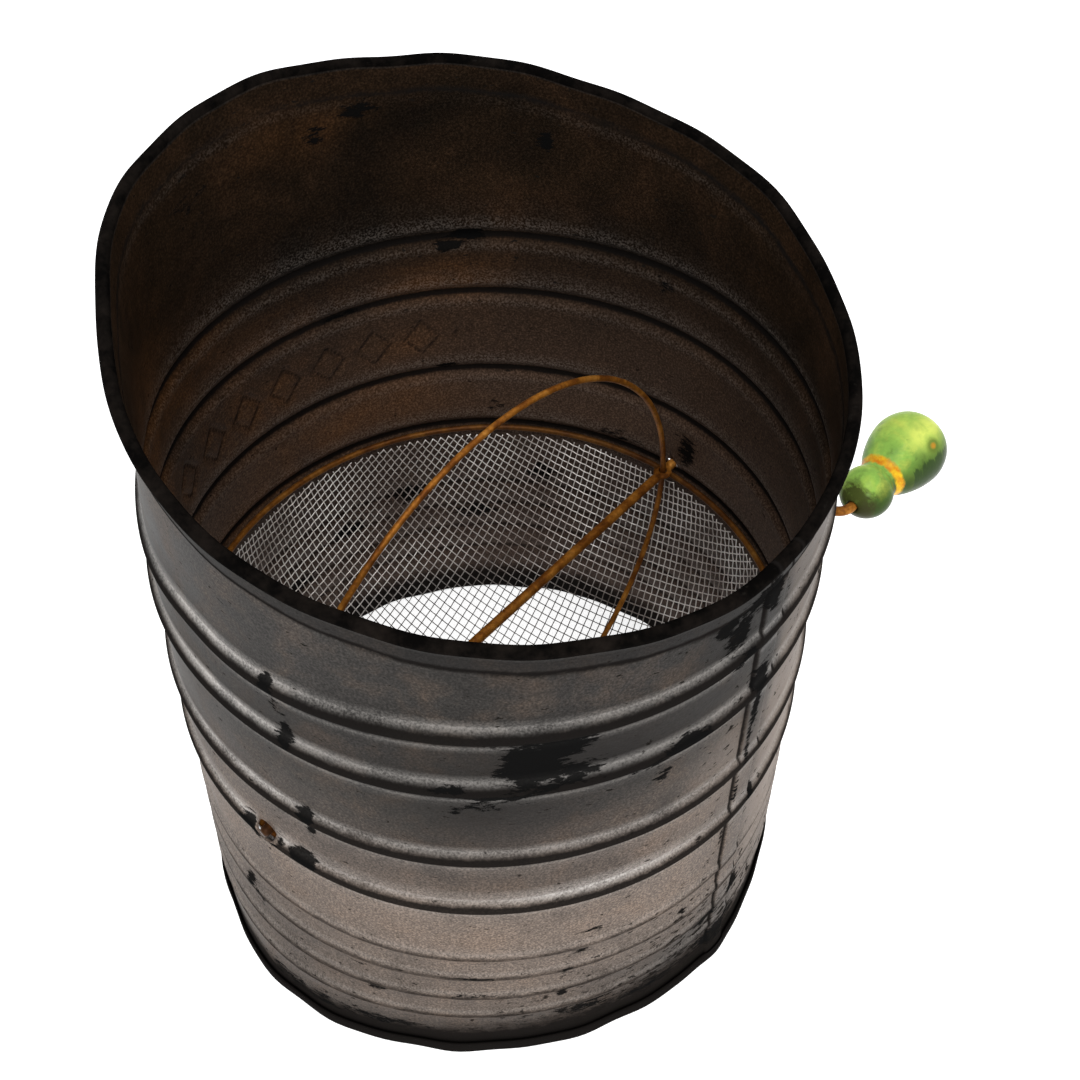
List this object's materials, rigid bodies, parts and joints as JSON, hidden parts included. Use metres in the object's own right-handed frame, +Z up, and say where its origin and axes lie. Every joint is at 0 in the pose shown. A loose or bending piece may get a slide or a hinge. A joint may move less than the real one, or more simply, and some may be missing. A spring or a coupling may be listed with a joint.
{
  "type": "flour sifter",
  "caption": "Hand-crank flour sifter: a beaded tin can with a slanted mouth, a woven screen bowl, and a bent-wire crank with a wooden knob that turns a wire hoop against the screen.",
  "frame": {"origin": "centre of the bounding box, on the surface the sifter stands on", "axes": "+Z up, +X along the crank shaft towards the knob, +Y towards the tall side of the slanted mouth"},
  "size_m": [0.1682, 0.1308, 0.1622],
  "materials": {
    "tin_body": "aged tinplate, stained and rusted inside",
    "rim_wire": "dark iron wire",
    "screen_wire": "bright woven wire",
    "rusty_wire": "rust-brown iron wire",
    "painted_knob": "glossy green paint, worn",
    "washer": "dull rusted steel"
  },
  "bodies": {
    "can": {"body_shell": "tin_body", "rim_wire": "rim_wire", "screen_bowl": "screen_wire", "screen_ring": "rusty_wire"},
    "crank": {"crank_rod": "rusty_wire", "agitator_hoop": "rusty_wire", "knob_washer": "washer"},
    "knob": {"knob": "painted_knob"}
  },
  "joints": [
    {"name": "crank_turn", "type": "hinge", "parent": "can", "child": "crank", "pos_m": [-0.01862, 0, 0.0625], "axis": [1, 0, 0], "continuous": true},
    {"name": "knob_spin", "type": "hinge", "parent": "crank", "child": "knob", "pos_m": [0.066, -0.04238, 0.07229], "axis": [1, 0, 0], "continuous": true}
  ]
}
